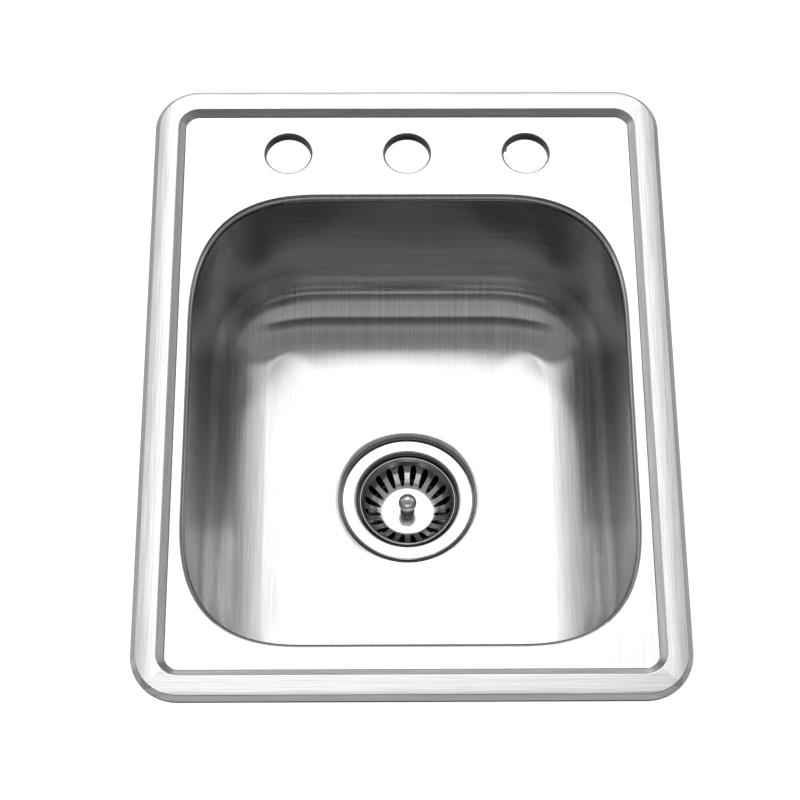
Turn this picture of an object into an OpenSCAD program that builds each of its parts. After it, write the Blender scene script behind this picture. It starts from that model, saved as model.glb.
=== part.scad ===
// Drop-in single bowl sink with three faucet holes, its basket strainer and its mounting clips.
// Millimetres. +X is the sink's right, +Y its back, +Z up. The origin is the centre of the rim's
// outline on the countertop, so z = 0 is the plane that the rim rests on.

/* [Rim] */
// Width over the rim, left to right
sink_w = 431.8; // [420:0.1:450]
// Depth over the rim, front to back
sink_d = 558.8; // [550:0.1:580]
// Thickness of the steel sheet
sheet = 1.0; // [0.8:0.1:1.2]
// Corner radius of the rim's outer edge
rim_corner_r = 38; // [34:1:44]
// Height of the rim's crest above the countertop
rim_h = 6.4; // [5.8:0.1:7]
// Width of the raised rim, from its outer edge to its inner step
rim_band = 19.6; // [18:0.1:20]
// Height of the deck's top face above the countertop
deck_z = 2.2; // [2:0.1:2.8]

/* [Bowl] */
// Width of the opening where the deck ends
bowl_w = 369.5; // [358:0.5:371]
// Depth of the opening, front to back, where the deck ends
bowl_d = 412.5; // [400:0.5:414]
// Distance of the bowl's centre in front of the rim's centre
bowl_forward = 30.3; // [28:0.1:32]
// Corner radius of the opening where the deck ends
bowl_corner_r = 95; // [85:1:100]
// Radius of the rolled edge between the deck and the wall
edge_roll = 5; // [4:0.5:6]
// Lean of the walls from upright, in degrees
wall_draft = 2.5; // [2:0.5:3]
// Radius between the walls and the floor
floor_fillet = 56; // [48:1:58]
// Height of the flat part of the floor
floor_z = -163; // [-166:1:-160]

/* [Faucet ledge] */
// Distance of the faucet holes from the rim's back edge
faucet_inset = 62.9; // [55:0.1:66]
// Distance between neighbouring faucet holes
faucet_pitch = 101.6; // [98:0.1:104]
// Diameter of a faucet hole
faucet_hole_d = 38.1; // [32:0.1:38.1]
// Depth of the turned-down collar round a faucet hole, from the deck's top face
faucet_collar = 8; // [4:1:10]

/* [Drain] */
// Diameter of the drain hole
drain_hole_d = 88.9; // [88.9:0.1:89.5]
// Depth of the recess that holds the strainer flange, below the flat floor
recess_depth = 7.3; // [7:0.1:8]
// Outer radius of the dished area that falls to the drain
dish_r = 112; // [90:1:114]
// Number of slots in the basket
slot_count = 20; // [12:1:22]

/* [Mounting clips] */
// Length of the left and right clip rails
side_rail = 400; // [380:1:420]
// Length of the front and back clip rails
end_rail = 260; // [240:1:300]
// Distance from the middle of a side rail to its clips
side_clip = 100; // [90:1:110]
// Distance from the middle of an end rail to its clips
end_clip = 65; // [62:1:68]

/* [Hidden] */
$fn = 96;
// Small overlap between shapes that are joined
lap = 1;

// Rim section, as heights and distances inward from the outer edge
rim_step = 6.4;
rim_lip = 2.8;
rim_bevel = rim_h - rim_lip;
rim_inner = rim_band + rim_step;
rim_path = [[0, 0], [0, rim_lip], [rim_bevel, rim_h], [rim_band, rim_h], [rim_inner, deck_z],
    [rim_inner + 2 * lap, deck_z]];

// Bowl section, as heights and distances inward from the end of the deck
bowl_y = -bowl_forward;
roll_z = deck_z - edge_roll;
wall_top = [edge_roll * cos(wall_draft), roll_z + edge_roll * sin(wall_draft)];
fillet_z = floor_z + floor_fillet;
wall_end_z = fillet_z - floor_fillet * sin(wall_draft);
fillet_u = wall_u(wall_end_z) + floor_fillet * cos(wall_draft);
bowl_path = concat([[-lap, deck_z]],
    arc([0, roll_z], edge_roll, 90, wall_draft, 6),
    arc([fillet_u, fillet_z], floor_fillet, 180 + wall_draft, 270, 12),
    [[fillet_u + lap, floor_z]]);

// Drain recess section, as heights and distances out from the drain's axis
drain_r = drain_hole_d / 2;
recess_z = floor_z - recess_depth;
dish_path = [[drain_r, recess_z], [57.8, recess_z], [58.1, recess_z + 3], [62.2, recess_z + 4.6],
    [dish_r, floor_z], [dish_r + lap, floor_z]];
under_z = recess_z - sheet;

// Strainer, from the recess down
putty_t = 0.5;
flange_z = recess_z + putty_t;
flange_top = flange_z + 1.6;
flange_r = 57.15;
mouth_r = 43.2;
mouth_w = 4.4;
mouth_h = 2.6;
cup_r = 41;
thread_r = 42.8;
shoulder_r = 44.2;
washer_t = 3;
ring_t = 1;
locknut_h = 10;
locknut_z = under_z - washer_t - ring_t;
seat_z = recess_z - 32.7;
outlet_r = 20;
neck_r = 23.8;
neck_z = seat_z - 29;
ledge_z = seat_z - 9;
ledge_r = 18.5;

// Tailpiece and its coupling
tail_r = 19.05;
tail_wall = 1;
tail_gasket_t = 2.5;
tail_flange_z = neck_z - tail_gasket_t;
tail_flange_t = 1.5;
tail_flange_r = 23.6;
tail_end_z = neck_z - 108;
coupling_top_z = neck_z + 12;
coupling_lip_t = 3.5;

// Basket and its post
basket_t = 0.8;
basket_rim_z = recess_z - 0.3;
basket_floor_z = recess_z - 21.3;
basket_rim_r = 42.4;
slot_in = 23.4;
slot_out = 37.5;
slot_w = 4.2;
post_r = 3.2;
post_gap = 0.08;
knob_r = 8.1;
knob_z = recess_z - 5.4;
spacer_h = 4.6;
plate_t = 1.2;
plate_z = basket_floor_z - basket_t - spacer_h;
seal_r = 26;
post_nut_h = 4;
post_end_z = seat_z - 19;

// Catch in the outlet
hub_r = 8;
hub_top_z = seat_z - 6.5;
hub_bore_r = 5.2;
hub_h = 5.5;
arm_w = 3;

// Clip rails, bolts, claws and nuts
rail_inset = 23.9;
rail_w = 14;
rail_h = 9;
rail_t = 1;
rail_slot = 7.2;
rail_top_z = deck_z - sheet;
rail_lip_z = rail_top_z - rail_h + rail_t;
slide_gap = 0.05;
bolt_r = 3;
bolt_end_z = -57;
head_h = 2.6;
head_w = rail_w - 2 * rail_t - 0.6;
claw_z = -42;
claw_t = 2;
claw_w = 14;
claw_reach = 23.2;
claw_heel = 8;
claw_rise = 5;
clip_washer_t = 1.2;
clip_washer_r = 6;
nut_flats = 10;
nut_h = 5;

// Distance of the rails' middle lines from the centre of the sink
side_out = sink_w / 2 - rail_inset;
end_out = sink_d / 2 - rail_inset;

// Points of an arc
function arc(c, r, a0, a1, n) = [for (i = [0:n]) let (a = a0 + (a1 - a0) * i / n)
    c + r * [cos(a), sin(a)]];
// Distance of the inner wall face from the end of the deck at height z
function wall_u(z) = wall_top[0] + (wall_top[1] - z) * tan(wall_draft);
// Unit normal to the right of the segment from a to b
function right_of(a, b) = let (d = (b - a) / norm(b - a)) [d[1], -d[0]];
// Path p moved to its right by t, with its corners mitred
function beside(p, t) = let (last = len(p) - 1) [for (i = [0:last])
    let (n1 = right_of(p[max(i - 1, 0)], p[max(i, 1)]),
         n2 = right_of(p[min(i, last - 1)], p[min(i + 1, last)]))
    p[i] + t * (n1 + n2) / (1 + n1 * n2)];
function reversed(p) = [for (i = [len(p) - 1:-1:0]) p[i]];

// Section of a sheet of thickness t whose top face follows path p
module sheet_section(p, t) {
    polygon(concat(p, reversed(beside(p, t))));
}

// Straight run of a section along the right side; the section's x runs inward
module right_run(edge, length) {
    translate([edge, -length / 2, 0]) rotate([90, 0, 180]) linear_extrude(length) children();
}

// Straight run of a section along the front side; the section's x runs inward
module front_run(edge, length) {
    translate([-length / 2, -edge, 0]) rotate([90, 0, 90]) linear_extrude(length) children();
}

// Section carried round a rectangle with rounded corners
module swept_frame(w, d, r) {
    for (turn = [0, 180]) rotate(turn) {
        right_run(w / 2, d - 2 * r) children();
        front_run(d / 2, w - 2 * r) children();
    }
    for (c = [[1, 1, 0], [-1, 1, 90], [-1, -1, 180], [1, -1, 270]])
        translate([c[0] * (w / 2 - r), c[1] * (d / 2 - r), 0]) rotate(c[2])
            rotate_extrude(angle = 90) translate([r, 0]) mirror([1, 0]) children();
}

module rounded_rect(w, d, r) {
    square([w, d - 2 * r], center = true);
    square([w - 2 * r, d], center = true);
    for (x = [-1, 1], y = [-1, 1]) translate([x * (w / 2 - r), y * (d / 2 - r)]) circle(r);
}

// Ring between two radii, upward from z
module ring(r_out, r_in, z, h) {
    translate([0, 0, z]) linear_extrude(h) difference() {
        circle(r_out);
        circle(r_in);
    }
}

module at_faucet_holes() {
    for (i = [-1:1]) translate([i * faucet_pitch, sink_d / 2 - faucet_inset, 0]) children();
}

module at_bowl() {
    translate([0, bowl_y, 0]) children();
}

// Places a clip on the left (turn 180), right (0), front (270) or back (90) rail
module at_clip(turn, out, along) {
    rotate(turn) translate([out, along, 0]) children();
}

// Sheet-steel body

module deck_plate() {
    inset = rim_inner + lap;
    translate([0, 0, deck_z - sheet]) linear_extrude(sheet) difference() {
        rounded_rect(sink_w - 2 * inset, sink_d - 2 * inset, rim_corner_r - inset);
        translate([0, bowl_y]) rounded_rect(bowl_w, bowl_d, bowl_corner_r);
        at_faucet_holes() circle(faucet_hole_d / 2 + sheet / 2);
    }
}

module faucet_collars() {
    r = faucet_hole_d / 2;
    at_faucet_holes() ring(r + sheet, r, deck_z - faucet_collar, faucet_collar);
}

module bowl_floor() {
    translate([0, 0, floor_z - sheet]) linear_extrude(sheet) difference() {
        rounded_rect(bowl_w - 2 * fillet_u, bowl_d - 2 * fillet_u, bowl_corner_r - fillet_u);
        circle(dish_r);
    }
}

module sink_shell() {
    color("gainsboro") {
        swept_frame(sink_w, sink_d, rim_corner_r) sheet_section(rim_path, sheet);
        deck_plate();
        faucet_collars();
        at_bowl() {
            swept_frame(bowl_w, bowl_d, bowl_corner_r) sheet_section(bowl_path, sheet);
            bowl_floor();
            rotate_extrude() sheet_section(dish_path, sheet);
        }
    }
}

// Closed-cell strip between the rim's bevel and the countertop
module rim_gasket() {
    color("dimgray") swept_frame(sink_w, sink_d, rim_corner_r)
        polygon([[1.9, 0], [7.6, 0], [7.6, 5.25], [4.15, 5.25], [1.9, 3]]);
}

// Rubber pads that deaden the walls, stuck outside the bowl
pad_top_z = -60;
pad_end_z = -106;
pad_t = 3;
pad_length = 180;
glue = 0.02;

module pad_section() {
    skin = sheet / cos(wall_draft) + glue;
    polygon([[wall_u(pad_top_z) - skin, pad_top_z], [wall_u(pad_end_z) - skin, pad_end_z],
        [wall_u(pad_end_z) - skin - pad_t, pad_end_z], [wall_u(pad_top_z) - skin - pad_t, pad_top_z]]);
}

module side_pad() {
    color("darkslategray") right_run(bowl_w / 2, pad_length) pad_section();
}

module end_pad() {
    color("darkslategray") front_run(bowl_d / 2, pad_length) pad_section();
}

module sound_pad_left() at_bowl() rotate(180) side_pad();
module sound_pad_right() at_bowl() side_pad();
module sound_pad_front() at_bowl() end_pad();
module sound_pad_back() at_bowl() rotate(180) end_pad();

// Channel with its slot downward, welded under the deck; it runs along y
module rail(length) {
    low = rail_top_z - rail_h;
    half = rail_w / 2;
    side = [[half, rail_top_z], [half, low], [rail_slot / 2, low], [rail_slot / 2, rail_lip_z],
        [half - rail_t, rail_lip_z], [half - rail_t, rail_top_z - rail_t]];
    other_side = [for (p = reversed(side)) [-p[0], p[1]]];
    color("silver") translate([0, length / 2, 0]) rotate([90, 0, 0]) linear_extrude(length)
        polygon(concat(side, other_side));
}

module clip_rail_left() at_clip(180, side_out, 0) rail(side_rail);
module clip_rail_right() at_clip(0, side_out, 0) rail(side_rail);
module clip_rail_front() at_clip(270, end_out, 0) rail(end_rail);
module clip_rail_back() at_clip(90, end_out, 0) rail(end_rail);

// Strainer and outlet

module strainer_body() {
    edge = [[flange_r, flange_z], [flange_r, flange_top - 0.9], [flange_r - 0.7, flange_top]];
    mouth = [for (a = [0:22.5:90])
        [mouth_r + mouth_w * (1 - sin(a)), flange_top - mouth_h * (1 - cos(a))]];
    cup = [[mouth_r, recess_z - 2.2], [cup_r, recess_z - 2.2], [cup_r, seat_z + 6.5],
        [38.5, seat_z + 2.5], [34, seat_z], [outlet_r, seat_z]];
    neck = [[outlet_r, ledge_z], [ledge_r, ledge_z], [ledge_r, neck_z], [neck_r, neck_z],
        [neck_r, seat_z - 3], [36, seat_z - 3], [40.4, seat_z - 0.4], [thread_r, seat_z + 4]];
    shoulder = [[thread_r, locknut_z], [shoulder_r, locknut_z], [shoulder_r, flange_z]];
    color("silver") at_bowl() rotate_extrude()
        polygon(concat(edge, mouth, cup, neck, shoulder));
}

module flange_putty() {
    color("beige") at_bowl() ring(flange_r - 0.8, drain_r + 0.2, recess_z, putty_t);
}

module strainer_washer() {
    color("black") at_bowl() ring(54, shoulder_r + 0.2, under_z - washer_t, washer_t);
}

module friction_ring() {
    color("tan") at_bowl() ring(53, shoulder_r + 0.2, locknut_z, ring_t);
}

module strainer_locknut() {
    lugs = 6;
    color("gray") at_bowl() translate([0, 0, locknut_z - locknut_h]) linear_extrude(locknut_h)
        difference() {
            union() {
                circle(50);
                for (i = [0:lugs - 1]) rotate(360 / lugs * i) translate([50, 0])
                    square([9, 12], center = true);
            }
            circle(thread_r + 0.1);
        }
}

module catch_spider() {
    rim_in = ledge_r + 0.2;
    color("silver") at_bowl() {
        ring(outlet_r - 0.1, rim_in, ledge_z, 1.2);
        ring(hub_r, hub_bore_r, hub_top_z - hub_h, hub_h);
        for (i = [0:3]) rotate(45 + 90 * i)
            translate([hub_r - lap / 2, -arm_w / 2, ledge_z])
                cube([rim_in - hub_r + lap, arm_w, 1.2]);
    }
}

module catch_bush() {
    bore = post_r + post_gap;
    color("ivory") at_bowl() {
        ring(hub_bore_r - post_gap, bore, hub_top_z - hub_h - 0.5, hub_h + 0.5 + lap / 2);
        ring(6.5, bore, hub_top_z, 0.8);
    }
}

module basket() {
    section = [[post_r + 0.1, basket_floor_z], [21.6, basket_floor_z], [23.8, basket_floor_z + 1],
        [33, basket_floor_z + 8.1], [36.4, basket_floor_z + 11.4], [37.8, basket_floor_z + 14.6],
        [38.7, basket_rim_z - 2.4], [39.7, basket_rim_z - 0.6], [41.2, basket_rim_z + 0.1],
        [basket_rim_r, basket_rim_z]];
    color("silver") at_bowl() difference() {
        rotate_extrude() sheet_section(section, basket_t);
        for (i = [0:slot_count - 1]) rotate(360 / slot_count * (i + 0.5))
            translate([slot_in, -slot_w / 2, basket_floor_z - 2 * lap])
                cube([slot_out - slot_in, slot_w, 16]);
    }
}

module basket_knob() {
    bore_top = knob_z - 2;
    color("silver") at_bowl() difference() {
        union() {
            translate([0, 0, knob_z]) sphere(knob_r);
            rotate_extrude() polygon([[0, basket_floor_z], [7.6, basket_floor_z],
                [7.6, basket_floor_z + 1], [5.9, basket_floor_z + 2], [5.2, knob_z - 7],
                [5.4, knob_z - 5], [0, knob_z - 5]]);
        }
        translate([0, 0, basket_floor_z - lap])
            cylinder(r = post_r + 0.05, h = bore_top - basket_floor_z + lap);
    }
}

// Threaded into the knob; its groove snaps into the catch
module lift_post() {
    groove = 0.7;
    color("silver") at_bowl() rotate_extrude() polygon([
        [0, post_end_z], [post_r - 1.4, post_end_z], [post_r, post_end_z + 1.4],
        [post_r, post_end_z + 3], [post_r - groove, post_end_z + 3.7],
        [post_r - groove, post_end_z + 5.2], [post_r, post_end_z + 5.9],
        [post_r, knob_z - 3], [0, knob_z - 3]]);
}

module post_spacer() {
    color("silver") at_bowl() ring(5.5, post_r + 0.1, plate_z, spacer_h);
}

module stopper_plate() {
    color("silver") at_bowl() ring(18, post_r + 0.1, plate_z - plate_t, plate_t);
}

module stopper_seal() {
    top = plate_z - plate_t;
    color("black") at_bowl() rotate_extrude() polygon([[post_r + 0.1, top], [22, top],
        [seal_r, top - 1.6], [seal_r, seat_z + 0.8], [seal_r - 0.8, seat_z], [post_r + 0.1, seat_z]]);
}

module post_nut() {
    color("silver") at_bowl() translate([0, 0, seat_z - post_nut_h]) linear_extrude(post_nut_h)
        difference() {
            circle(d = 10 / cos(30), $fn = 6);
            circle(post_r + 0.06);
        }
}

module tailpiece_washer() {
    color("white") at_bowl() ring(tail_flange_r, tail_r - tail_wall, tail_flange_z, tail_gasket_t);
}

module coupling_nut() {
    grips = 8;
    bore = neck_r + 0.1;
    lip_z = tail_flange_z - tail_flange_t;
    bottom = lip_z - coupling_lip_t;
    color("lightgray") at_bowl() difference() {
        translate([0, 0, bottom]) linear_extrude(coupling_top_z - bottom) {
            circle(28);
            for (i = [0:grips - 1]) rotate(360 / grips * i) translate([28, 0])
                square([5, 8], center = true);
        }
        translate([0, 0, lip_z]) cylinder(r = bore, h = coupling_top_z - lip_z + lap);
        translate([0, 0, bottom - lap]) cylinder(r = 22, h = coupling_lip_t + 2 * lap);
    }
}

module tailpiece() {
    inner = tail_r - tail_wall;
    lip_z = tail_flange_z - tail_flange_t;
    color("silver") at_bowl() rotate_extrude() polygon([[inner, tail_flange_z],
        [tail_flange_r, tail_flange_z], [tail_flange_r, lip_z], [21.5, lip_z],
        [tail_r, lip_z - coupling_lip_t - lap], [tail_r, tail_end_z], [inner, tail_end_z]]);
}

// Mounting clips. Each is drawn at the origin with its rail along Y and its claw parked along the
// rail, as the clips stand while the sink is lowered into its cut-out

module clip_bolt() {
    head_z = rail_lip_z + slide_gap;
    neck = rail_slot - 0.3;
    color("lightsteelblue") {
        translate([-head_w / 2, -4.5, head_z]) cube([head_w, 9, head_h]);
        translate([-neck / 2, -neck / 2, head_z - 2]) cube([neck, neck, 2 + head_h / 2]);
        translate([0, 0, bolt_end_z]) cylinder(r = bolt_r, h = head_z - bolt_end_z);
    }
}

module clip_claw() {
    notch = 2.4;
    color("lightsteelblue") rotate(-90) difference() {
        translate([0, claw_w / 2, 0]) rotate([90, 0, 0]) linear_extrude(claw_w) polygon([
            [-claw_heel, claw_z - claw_t], [claw_reach, claw_z - claw_t],
            [claw_reach, claw_z + claw_rise], [claw_reach - 1.8, claw_z + claw_rise - 1.6],
            [claw_reach - 2.2, claw_z], [claw_t - claw_heel, claw_z],
            [claw_t - claw_heel, claw_z + 3], [-claw_heel, claw_z + 3]]);
        translate([0, 0, claw_z - claw_t - lap]) cylinder(r = bolt_r + 0.3, h = claw_t + 2 * lap);
        for (y = [-2.9, 2.9]) translate([claw_reach - 3, y - notch / 2, claw_z + claw_rise - 2.4])
            cube([4, notch, 3]);
    }
}

module clip_washer() {
    color("lightsteelblue")
        ring(clip_washer_r, bolt_r + 0.2, claw_z - claw_t - clip_washer_t, clip_washer_t);
}

module clip_nut() {
    top = claw_z - claw_t - clip_washer_t;
    color("lightsteelblue") translate([0, 0, top - nut_h]) linear_extrude(nut_h) difference() {
        circle(d = nut_flats / cos(30), $fn = 6);
        circle(bolt_r + 0.06);
    }
}

module at_left_front() at_clip(180, side_out, side_clip) children();
module at_left_back() at_clip(180, side_out, -side_clip) children();
module at_right_front() at_clip(0, side_out, -side_clip) children();
module at_right_back() at_clip(0, side_out, side_clip) children();
module at_front_left() at_clip(270, end_out, -end_clip) children();
module at_front_right() at_clip(270, end_out, end_clip) children();
module at_back_left() at_clip(90, end_out, end_clip) children();
module at_back_right() at_clip(90, end_out, -end_clip) children();

module bolt_left_front() at_left_front() clip_bolt();
module bolt_left_back() at_left_back() clip_bolt();
module bolt_right_front() at_right_front() clip_bolt();
module bolt_right_back() at_right_back() clip_bolt();
module bolt_front_left() at_front_left() clip_bolt();
module bolt_front_right() at_front_right() clip_bolt();
module bolt_back_left() at_back_left() clip_bolt();
module bolt_back_right() at_back_right() clip_bolt();
module claw_left_front() at_left_front() clip_claw();
module claw_left_back() at_left_back() clip_claw();
module claw_right_front() at_right_front() clip_claw();
module claw_right_back() at_right_back() clip_claw();
module claw_front_left() at_front_left() clip_claw();
module claw_front_right() at_front_right() clip_claw();
module claw_back_left() at_back_left() clip_claw();
module claw_back_right() at_back_right() clip_claw();
module washer_left_front() at_left_front() clip_washer();
module washer_left_back() at_left_back() clip_washer();
module washer_right_front() at_right_front() clip_washer();
module washer_right_back() at_right_back() clip_washer();
module washer_front_left() at_front_left() clip_washer();
module washer_front_right() at_front_right() clip_washer();
module washer_back_left() at_back_left() clip_washer();
module washer_back_right() at_back_right() clip_washer();
module nut_left_front() at_left_front() clip_nut();
module nut_left_back() at_left_back() clip_nut();
module nut_right_front() at_right_front() clip_nut();
module nut_right_back() at_right_back() clip_nut();
module nut_front_left() at_front_left() clip_nut();
module nut_front_right() at_front_right() clip_nut();
module nut_back_left() at_back_left() clip_nut();
module nut_back_right() at_back_right() clip_nut();

sink_shell();
rim_gasket();
sound_pad_left();
sound_pad_right();
sound_pad_front();
sound_pad_back();
clip_rail_left();
clip_rail_right();
clip_rail_front();
clip_rail_back();
strainer_body();
flange_putty();
strainer_washer();
friction_ring();
strainer_locknut();
catch_spider();
catch_bush();
basket();
basket_knob();
lift_post();
post_spacer();
stopper_plate();
stopper_seal();
post_nut();
tailpiece_washer();
coupling_nut();
tailpiece();
bolt_left_front();
bolt_left_back();
bolt_right_front();
bolt_right_back();
bolt_front_left();
bolt_front_right();
bolt_back_left();
bolt_back_right();
claw_left_front();
claw_left_back();
claw_right_front();
claw_right_back();
claw_front_left();
claw_front_right();
claw_back_left();
claw_back_right();
washer_left_front();
washer_left_back();
washer_right_front();
washer_right_back();
washer_front_left();
washer_front_right();
washer_back_left();
washer_back_right();
nut_left_front();
nut_left_back();
nut_right_front();
nut_right_back();
nut_front_left();
nut_front_right();
nut_back_left();
nut_back_right();
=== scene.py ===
import math

import bmesh
import bpy
import numpy as np
from mathutils import Matrix, Vector


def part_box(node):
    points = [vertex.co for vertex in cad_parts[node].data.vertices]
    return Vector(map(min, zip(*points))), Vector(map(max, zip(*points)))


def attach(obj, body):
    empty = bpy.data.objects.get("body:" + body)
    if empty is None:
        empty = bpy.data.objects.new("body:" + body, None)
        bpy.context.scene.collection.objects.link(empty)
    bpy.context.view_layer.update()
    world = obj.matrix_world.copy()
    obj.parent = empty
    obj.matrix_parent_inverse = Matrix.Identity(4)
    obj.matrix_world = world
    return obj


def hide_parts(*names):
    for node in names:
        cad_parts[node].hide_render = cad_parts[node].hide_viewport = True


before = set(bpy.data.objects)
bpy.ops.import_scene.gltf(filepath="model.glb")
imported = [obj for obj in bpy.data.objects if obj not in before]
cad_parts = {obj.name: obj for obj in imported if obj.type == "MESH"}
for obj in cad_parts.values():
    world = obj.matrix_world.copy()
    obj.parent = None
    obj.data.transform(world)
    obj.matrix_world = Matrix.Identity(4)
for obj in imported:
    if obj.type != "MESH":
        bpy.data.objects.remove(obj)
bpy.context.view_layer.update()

# Drop-in steel sink with three faucet holes, its basket strainer and its mounting clips. Shapes are
# worked out in millimetres, in the CAD part's own frame, and scaled to metres when a mesh is made.
MM = 0.001
TURN = 2 * math.pi
SHARP = math.radians(32)


# Places from the frame, in millimetres

def low(node):
    return np.array(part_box(node)[0]) / MM


def high(node):
    return np.array(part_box(node)[1]) / MM


def middle(node):
    return (low(node) + high(node)) / 2


def radius_of(node):
    return (high(node)[0] - low(node)[0]) / 2


# The sheet-steel body
HALF_W, HALF_D, RIM_TOP = high("sink_shell")
SHEET = 1.0
RIM_CORNER = 38
RIM_LIP = 2.8
RIM_BEVEL = RIM_TOP - RIM_LIP
RIM_BAND = 19.6
RIM_STEP = 6.4
RIM_INNER = RIM_BAND + RIM_STEP
DECK_Z = high("clip_rail_left")[2] + SHEET
DRAIN = middle("strainer_body")[:2]
BOWL_HALF = np.array([183.1, 206.25])
BACK_CORNER = np.array([115.0, 130.0])
FRONT_CORNER = np.array([104.0, 117.0])
CORNER_POWER = 2.7
ROLL_R = 5
DRAFT = math.radians(2.5)
FILLET_R = 56
RECESS_Z = low("sink_shell")[2] + SHEET
FLOOR_Z = RECESS_Z + 7.6
DRAIN_EDGE_R = 60.4
RECESS_R = 58.0
DRAIN_EDGE_Z = RECESS_Z + 3.2
DRAIN_HOLE_R = 44.45
HOLE_R = 19.05
HOLE_ROLL = 2.2
HOLE_PITCH = 101.6
HOLE_Y = HALF_D - 62.9
COLLAR = 8

ROLL_Z = DECK_Z - ROLL_R
WALL_TOP_U = ROLL_R * math.cos(DRAFT)
WALL_TOP_Z = ROLL_Z + ROLL_R * math.sin(DRAFT)
WALL_END_Z = FLOOR_Z + FILLET_R * (1 - math.sin(DRAFT))


def wall_u(z):
    """Distance of the wall's inner face from the end of the deck, at height z."""
    return WALL_TOP_U + (WALL_TOP_Z - z) * math.tan(DRAFT)


FILLET_U = wall_u(WALL_END_Z) + FILLET_R * math.cos(DRAFT)
FILLET_TIGHTER = 22
FLOOR_SLOPE = math.radians(5.5)
FLOOR_EDGE_Z = FLOOR_Z + FILLET_R * (1 - math.cos(FLOOR_SLOPE))

# Points round the long sides, the short ends and each corner of a rounded rectangle
SIDE_STEPS = 40
END_STEPS = 32
CORNER_STEPS = 30


# Mesh building

def unit(v):
    return v / np.linalg.norm(v)


def soften(points, closed=True, steps=5, margin=0.2):
    """The points with each corner rounded by the radius in its third number, if it has one."""
    path = []
    for i, point in enumerate(points):
        here = np.array(point[:2], float)
        if len(point) < 3 or (not closed and i in (0, len(points) - 1)):
            path.append(here)
            continue
        before = unit(np.array(points[i - 1][:2], float) - here)
        after = unit(np.array(points[(i + 1) % len(points)][:2], float) - here)
        half = math.acos(max(-1.0, min(1.0, float(before @ after)))) / 2
        reach = point[2] / math.tan(half)
        centre = here + unit(before + after) * point[2] / math.sin(half)
        start = here + before * reach - centre
        end = here + after * reach - centre
        first = math.atan2(start[1], start[0])
        turn = math.remainder(math.atan2(end[1], end[0]) - first, TURN)
        path.append(here + before * (reach + margin))
        for step in range(steps + 1):
            angle = first + turn * step / steps
            path.append(centre + point[2] * np.array([math.cos(angle), math.sin(angle)]))
        path.append(here + after * (reach + margin))
    return path


def arc(centre, radius, first, last, steps):
    angles = np.radians(np.linspace(first, last, steps + 1))
    return [np.array([centre[0] + radius * math.cos(a), centre[1] + radius * math.sin(a)])
            for a in angles]


def polar_ring(radius, z, steps=96, centre=DRAIN):
    """Ring of points about a vertical axis; radius and z are numbers, or one number a point."""
    angles = np.arange(steps) * TURN / steps
    xs = centre[0] + radius * np.cos(angles)
    ys = centre[1] + radius * np.sin(angles)
    return np.stack([xs, ys, np.broadcast_to(z, (steps,))], axis=1)


def skin(rings, closed=True):
    """Points and faces through rings of points, joined end to end or capped at both ends."""
    rings = np.asarray(rings, float)
    count, around = rings.shape[:2]
    faces = []
    for j in range(count if closed else count - 1):
        here = j * around
        there = (j + 1) % count * around
        for i in range(around):
            n = (i + 1) % around
            faces.append((here + i, here + n, there + n, there + i))
    if not closed:
        faces.append(tuple(range(around)))
        faces.append(tuple(range((count - 1) * around, count * around)))
    return rings.reshape(-1, 3), faces


def link(name, mesh):
    obj = bpy.data.objects.new(name, mesh)
    bpy.context.scene.collection.objects.link(obj)
    return obj


def shade(mesh):
    mesh.shade_smooth()
    mesh.set_sharp_from_angle(angle=SHARP)


def solid(name, points, faces):
    """Closed object from points in millimetres, with its faces turned outward."""
    mesh = bpy.data.meshes.new(name)
    mesh.from_pydata((np.asarray(points) * MM).tolist(), [], faces)
    work = bmesh.new()
    work.from_mesh(mesh)
    bmesh.ops.remove_doubles(work, verts=work.verts, dist=1e-7)
    bmesh.ops.recalc_face_normals(work, faces=work.faces)
    work.to_mesh(mesh)
    work.free()
    shade(mesh)
    return link(name, mesh)


def thicken(obj, thickness):
    """Gives an open sheet its thickness, away from its face side, and closes its edges."""
    sheet = obj.modifiers.new("sheet", "SOLIDIFY")
    sheet.thickness = thickness * MM
    sheet.offset = -1
    sheet.use_even_offset = True
    sheet.use_quality_normals = True
    bpy.context.view_layer.update()
    view = obj.evaluated_get(bpy.context.evaluated_depsgraph_get())
    mesh = bpy.data.meshes.new_from_object(view)
    obj.modifiers.clear()
    obj.data = mesh
    shade(mesh)


def revolve(name, section, steps=96, centre=DRAIN, arc_steps=5):
    """Solid of revolution. A section that starts on the axis also ends on it."""
    closed = section[0][0] > 0
    path = soften(section, closed, arc_steps)
    if not closed:
        path = path[1:-1]
    return solid(name, *skin([polar_ring(r, z, steps, centre) for r, z in path], closed))


def finish_piece(obj, body, material, slot, *nodes):
    """Gives a piece its finish and its body, and lets it stand for the CAD nodes named."""
    obj.data.materials.clear()
    obj.data.materials.append(material)
    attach(obj, body)
    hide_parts(*nodes)


# Rounded rectangles

def quarter(a, b, power):
    """Quarter of a superellipse from (a, 0) to (0, b), evenly spaced, without its last point."""
    samples = 400
    t = np.linspace(0, math.pi / 2, samples)
    xs = a * np.cos(t) ** (2 / power)
    ys = b * np.sin(t) ** (2 / power)
    length = np.concatenate([[0], np.cumsum(np.hypot(np.diff(xs), np.diff(ys)))])
    even = np.linspace(0, length[-1], CORNER_STEPS + 1)[:-1]
    return np.stack([np.interp(even, length, xs), np.interp(even, length, ys)], axis=1)


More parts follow.
